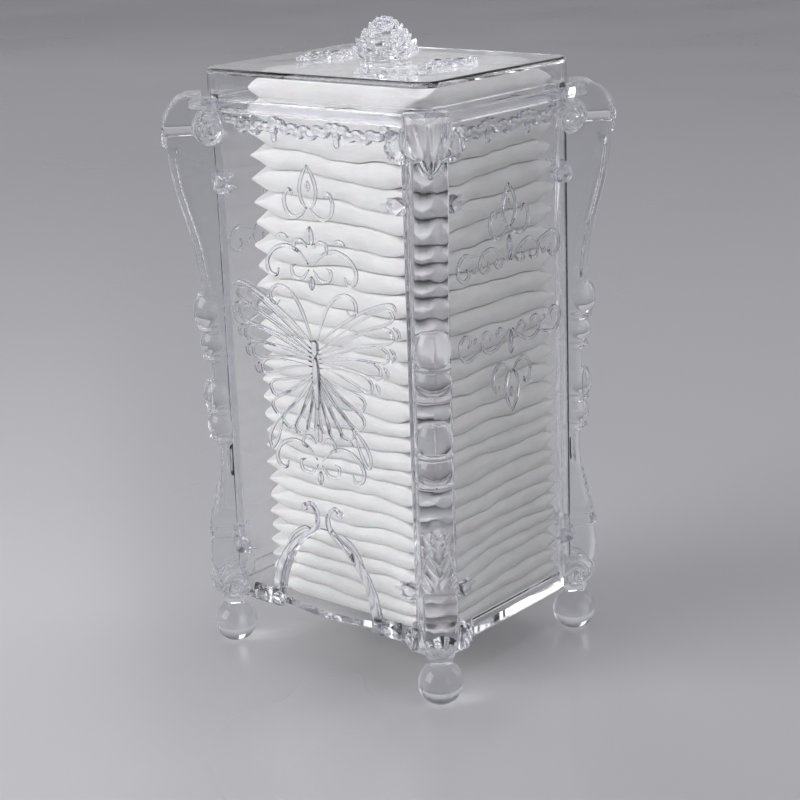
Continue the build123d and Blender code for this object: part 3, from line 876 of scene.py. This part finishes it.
def front_wall(outline):
    """The wall from its outline, its upright ends mitred and its edges softened."""
    count = len(outline)
    reach = max(x for x, z in outline)
    verts = [on_front(x, z, 0) for x, z in outline]
    for x, z in outline:
        drawn = math.copysign(abs(x) - PANEL_WALL, x) if abs(x) > reach - 0.01 else x
        verts.append(on_front(drawn, z, -PANEL_WALL))
    faces = [tuple(range(count)), tuple(reversed(range(count, 2 * count)))]
    faces += [(i, (i + 1) % count, count + (i + 1) % count, count + i) for i in range(count)]
    obj = case_piece("front_wall", verts, faces, CLEAR_SHEET, smooth=False)
    fix_normals(obj)
    soft = obj.modifiers.new("soft edges", "BEVEL")
    soft.width = WALL_EDGE_ROUND * MM
    soft.segments = 3
    soft.limit_method = "ANGLE"
    soft.angle_limit = math.radians(40)
    soft.harden_normals = True
    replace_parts(obj, "front_panel")


def rail(name, ends):
    """The rounded moulding along the foot of the front, from end to end."""
    verts = []
    for x in ends:
        for k in range(RAIL_STEPS + 1):
            a = math.pi * k / RAIL_STEPS
            up = FOOT / MM + RAIL_HALF_HEIGHT - RAIL_HALF_HEIGHT * math.cos(a)
            verts.append(on_front(x, up, RAIL_RISE * math.sin(a) ** 0.6 - RAIL_SINK))
    row = RAIL_STEPS + 1
    faces = [(k, k + 1, row + 1 + k, row + k) for k in range(RAIL_STEPS)]
    faces.append((RAIL_STEPS, 0, row, 2 * row - 1))
    faces.append(tuple(range(row)))
    faces.append(tuple(reversed(range(row, 2 * row))))
    fix_normals(case_piece(name, verts, faces, CLEAR_CAST))


def front_panel():
    """The front wall round its mouth, and the two pieces of rail beside the mouth."""
    half, low, high = PANEL_HALF / MM, FOOT / MM, PANEL_TOP / MM
    mouth = bezier(*((x, low + z) for x, z in MOUTH_SIDE), MOUTH_STEPS)
    right = [(p.x, p.y) for p in mouth]
    left = [(-x, z) for x, z in reversed(right[:-1])]
    outline = [(half, high), (-half, high), (-half, low)] + left[::-1] + right[::-1][1:] + [(half, low)]
    front_wall(outline)
    reach = SIDE_FACE / MM - RAIL_TO_CORNER
    rail("front_rail_left", (-reach, -RAIL_TO_MOUTH))
    rail("front_rail_right", (RAIL_TO_MOUTH, reach))


# ---- lid ornaments
ROSE_RING_COUNT = 7  # large petals round the foot of the rose
ROSE_RING_TURN = 8  # degrees
ROSE_RING_RADII = (5.8, 9.1)  # of a large petal's foot and rim
ROSE_RING_HEIGHTS = (0.3, 3.6)
ROSE_RING_HALF_WIDTH = 3.1
PETAL_THICKNESS = 1.1
PETAL_ROWS, PETAL_COLUMNS = 7, 8
ROSE_PETALS = 44  # small cupped petals wound over the mound
ROSE_MOUND = (0.6, 8.0, 11.0, 2.6)  # radius at the top and at the foot, and the heights of both
ROSE_HEART = (7.2, 9.6)  # radius and height of the solid heart
GOLDEN_TURN = 137.508  # degrees from one small petal to the next
SPRAY_LEAVES = ((0, 7.6), (52, 7.8), (90, 8.6), (128, 7.8), (180, 7.6), (232, 7.8), (270, 8.6),
                (308, 7.8))  # lean and length
SPRAY_LEAF_HALF_WIDTH = 1.75
SPRAY_HEART = 2.4
LEAF_ROWS, LEAF_COLUMNS = 12, 6
SCROLL_OUT, SCROLL_RADIUS, SCROLL_TURNS = 9.4, 2.5, 1.4
SCROLL_WIRE = (0.62, 0.5)  # radius at the beginning and at the end of a scroll


def large_petal(lean):
    """One cupped petal of the outer ring that rolls outwards at its lip, as a form."""
    (base, rim), (foot, height) = ROSE_RING_RADII, ROSE_RING_HEIGHTS
    shell = []
    for thick in (0, PETAL_THICKNESS):
        for i in range(PETAL_ROWS + 1):
            t = i / PETAL_ROWS
            radius = base + (rim - base) * t + 0.9 * math.sin(math.pi * t) + 0.7 * t ** 4 - thick
            z = foot + (height - foot) * (t - 0.08 * t ** 4)
            spread = ROSE_RING_HALF_WIDTH * (0.55 + 0.45 * math.sin(math.pi * (0.15 + 0.6 * t)))
            for k in range(PETAL_COLUMNS + 1):
                s = 2 * k / PETAL_COLUMNS - 1
                drop = 0.28 * (height - foot) * s * s * t
                a = math.radians(lean) + s * spread / max(radius + thick, 1.0)
                cup = radius - 0.35 * (1 - s * s) * t
                shell.append((cup * math.cos(a), cup * math.sin(a), z - drop))
    return shell, shell_faces(PETAL_ROWS, PETAL_COLUMNS)


def small_petal(n):
    """One of the small cupped petals that cover the mound, wound on it like the scales of a cone."""
    share = (n + 0.5) / ROSE_PETALS
    tip, foot, top, base = ROSE_MOUND
    size = 0.66 + 0.5 * share
    place = Matrix.Rotation(math.radians(n * GOLDEN_TURN), 4, "Z")
    out, up = tip + (foot - tip) * share ** 0.75, top + (base - top) * share ** 1.25
    place = place @ Matrix.Translation((out, 0, up))
    place = place @ Matrix.Rotation(0.2 + 0.7 * share, 4, "Y")
    points, faces = ball((0, 0, 0), (0.8 * size, 1.9 * size, 1.9 * size), 9, 12)
    return [tuple(place @ Vector((x + 0.16 * y * y, y, z))) for x, y, z in points], faces


def levelled(tall):
    """A carving that keeps a lid ornament between the lid and its full height."""
    def level(points, normals):
        points = points.copy()
        points[:, 2] = np.clip(points[:, 2], 0.0, tall)
        return points
    return level


def rose():
    """The knob: a mound of small cupped petals over a ring of large ones."""
    low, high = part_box("lid_rose")
    heart, top = ROSE_HEART
    forms = [ball((0, 0, top - heart * 1.1), (heart, heart, heart * 1.1))]
    forms += [small_petal(n) for n in range(ROSE_PETALS)]
    forms += [large_petal(ROSE_RING_TURN + 360 * n / ROSE_RING_COUNT) for n in range(ROSE_RING_COUNT)]
    tall = (high.z - low.z) / MM
    mesh = moulded_mesh("rose", forms, voxel=0.24, smoothing=1, carve=levelled(tall))
    place_mesh("rose_knob", mesh, Matrix.Translation((0, 0, low.z)), "lid", "lid_rose")


def leaf_form(lean, length, thick):
    """A pointed leaf lying on the lid, high along its middle rib, as a form."""
    along = Vector((math.cos(math.radians(lean)), math.sin(math.radians(lean))))
    aside = Vector((-along.y, along.x))
    shell = []
    for upper in (True, False):
        for i in range(LEAF_ROWS + 1):
            t = i / LEAF_ROWS
            half = SPRAY_LEAF_HALF_WIDTH * math.sin(math.pi * (0.06 + 0.94 * t) ** 0.85) + 0.12
            for k in range(LEAF_COLUMNS + 1):
                s = 2 * k / LEAF_COLUMNS - 1
                over = thick * (1 - 0.55 * s * s) * (0.55 + 0.45 * math.sin(math.pi * t))
                over += 0.18 * math.cos(t * 22) * abs(s)
                p = along * (length * t) + aside * (half * s)
                shell.append((p.x, p.y, over if upper else 0.0))
    return shell, shell_faces(LEAF_ROWS, LEAF_COLUMNS, turned=True)


def spray(side):
    """Leaves and scrolls lying on the lid beside the rose."""
    name = "lid_spray_left" if side < 0 else "lid_spray_right"
    low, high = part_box(name)
    tall = (high.z - low.z) / MM
    forms = [ball((0, 0, 0.3), (SPRAY_HEART, SPRAY_HEART, tall - 0.4))]
    forms += [leaf_form(lean, length, tall - 0.2) for lean, length in SPRAY_LEAVES]
    for end in (-1, 1):
        turn = curl((0, end * SCROLL_OUT), SCROLL_RADIUS, 90 * end, SCROLL_TURNS * end * side)
        forms.append(rod([(x, y, SCROLL_WIRE[0]) for x, y in turn], SCROLL_WIRE))
    mesh = moulded_mesh(name, forms, voxel=0.28, smoothing=2, carve=levelled(tall))
    middle = (low + high) / 2
    place_mesh("moulded_" + name[4:], mesh, Matrix.Translation((middle.x, middle.y, low.z)), "lid", name)


# ---- put the clear pieces together
corner_posts()
front_panel()
arch_moulding()
reliefs()
rose()
spray(-1)
spray(1)


# ---- floor, light and camera
FLOOR_HALF = 9.0
HORIZON = (0.74, 0.74, 0.76, 1.0)
ZENITH = (0.14, 0.14, 0.17, 1.0)
ZENITH_FROM = 0.6  # height in the sky, as a sine, from which it has the zenith's colour
WORLD_STRENGTH = 0.72
CAMERA_PLACE = (0.34368, -0.41342, 0.23113)
CAMERA_TURNS = (39.67, 16.5, -2.0)  # round the object, up over it, and roll, in degrees
CAMERA_LENS, CAMERA_SENSOR = 88.03, 36.0
LIGHT_BOUNCES = 24  # enough for light to leave the edges of the clear walls again
LAMPS = [  # name, place, aim, size, power
    ("key", (-0.55, -0.95, 0.6), (0, 0, 0.09), (0.8, 0.9), 8.0),
    ("fill", (1.1, -0.25, 0.45), (0, 0, 0.09), (0.5, 0.8), 1.2),
    ("strip_left", (-1.3, 0.8, 0.9), (0, 0, 0.09), (0.45, 0.9), 1.6),
    ("strip_right", (0.65, 1.1, 0.6), (0, 0, 0.09), (0.45, 0.9), 1.8),
    ("top", (0.05, 0.1, 1.1), (0, 0, 0.1), (0.5, 0.5), 2.5)]


def floor():
    """The pale floor that the holder stands on."""
    h = FLOOR_HALF
    mesh = bpy.data.meshes.new("studio_floor")
    mesh.from_pydata([(-h, -h, 0), (h, -h, 0), (h, h, 0), (-h, h, 0)], [], [(0, 1, 2, 3)])
    obj = new_object("studio_floor", mesh)
    material, tree = new_material("Pale Floor")
    place = add(tree, "TexCoord")
    grain = add(tree, "TexNoise", values={"Scale": 6.0, "Detail": 3.0})
    tone = add(tree, "MapRange",
               values={"From Min": 0.3, "From Max": 0.7, "To Min": 0.24, "To Max": 0.28})
    body = add(tree, "BsdfPrincipled",
               values={"Base Color": (0.66, 0.66, 0.675, 1.0), "Specular IOR Level": 0.35})
    out = add(tree, "OutputMaterial")
    wire(tree, (place, "Object", grain, "Vector"), (grain, "Fac", tone, "Value"),
         (tone, "Result", body, "Roughness"), (body, "BSDF", out, "Surface"))
    dress(obj, material)


def lamp(name, place, aim, size, power):
    """A soft white lamp aimed at a point."""
    light = bpy.data.lights.new(name, "AREA")
    light.shape = "RECTANGLE"
    light.size, light.size_y = size
    light.energy = power
    obj = new_object(name, light)
    obj.location = place
    obj.rotation_euler = (Vector(aim) - Vector(place)).to_track_quat("-Z", "Y").to_euler()


def studio_world():
    """Pale light from all round that darkens overhead."""
    world = bpy.data.worlds.new("Studio")
    bpy.context.scene.world = world
    world.use_nodes = True
    tree = world.node_tree
    tree.nodes.clear()
    place = add(tree, "TexCoord")
    split = add(tree, "SeparateXYZ")
    ramp = add(tree, "ValToRGB")
    low, high = ramp.color_ramp.elements
    low.position, low.color = 0.0, HORIZON
    high.position, high.color = ZENITH_FROM, ZENITH
    back = add(tree, "Background", values={"Strength": WORLD_STRENGTH})
    out = add(tree, "OutputWorld")
    wire(tree, (place, "Generated", split, "Vector"), (split, "Z", ramp, "Fac"),
         (ramp, "Color", back, "Color"), (back, "Background", out, "Surface"))


def camera():
    """The camera at the photograph's angle."""
    turn, rise, roll = (math.radians(a) for a in CAMERA_TURNS)
    right = Vector((math.cos(turn), math.sin(turn), 0))
    back = Vector((math.sin(turn) * math.cos(rise), -math.cos(turn) * math.cos(rise), math.sin(rise)))
    up = back.cross(right)
    across = right * math.cos(roll) + up * math.sin(roll)
    above = up * math.cos(roll) - right * math.sin(roll)
    turned = Matrix((across, above, back)).transposed().to_4x4()
    data = bpy.data.cameras.new("camera")
    data.sensor_fit = "HORIZONTAL"
    data.sensor_width = CAMERA_SENSOR
    data.lens = CAMERA_LENS
    data.clip_start = 0.01
    obj = new_object("camera", data)
    obj.matrix_world = Matrix.Translation(CAMERA_PLACE) @ turned
    bpy.context.scene.camera = obj


floor()
studio_world()
for settings in LAMPS:
    lamp(*settings)
camera()
bpy.context.scene.view_settings.view_transform = "Standard"
for bounces in ("max_bounces", "glossy_bounces", "transmission_bounces", "transparent_max_bounces"):
    setattr(bpy.context.scene.cycles, bounces, LIGHT_BOUNCES)
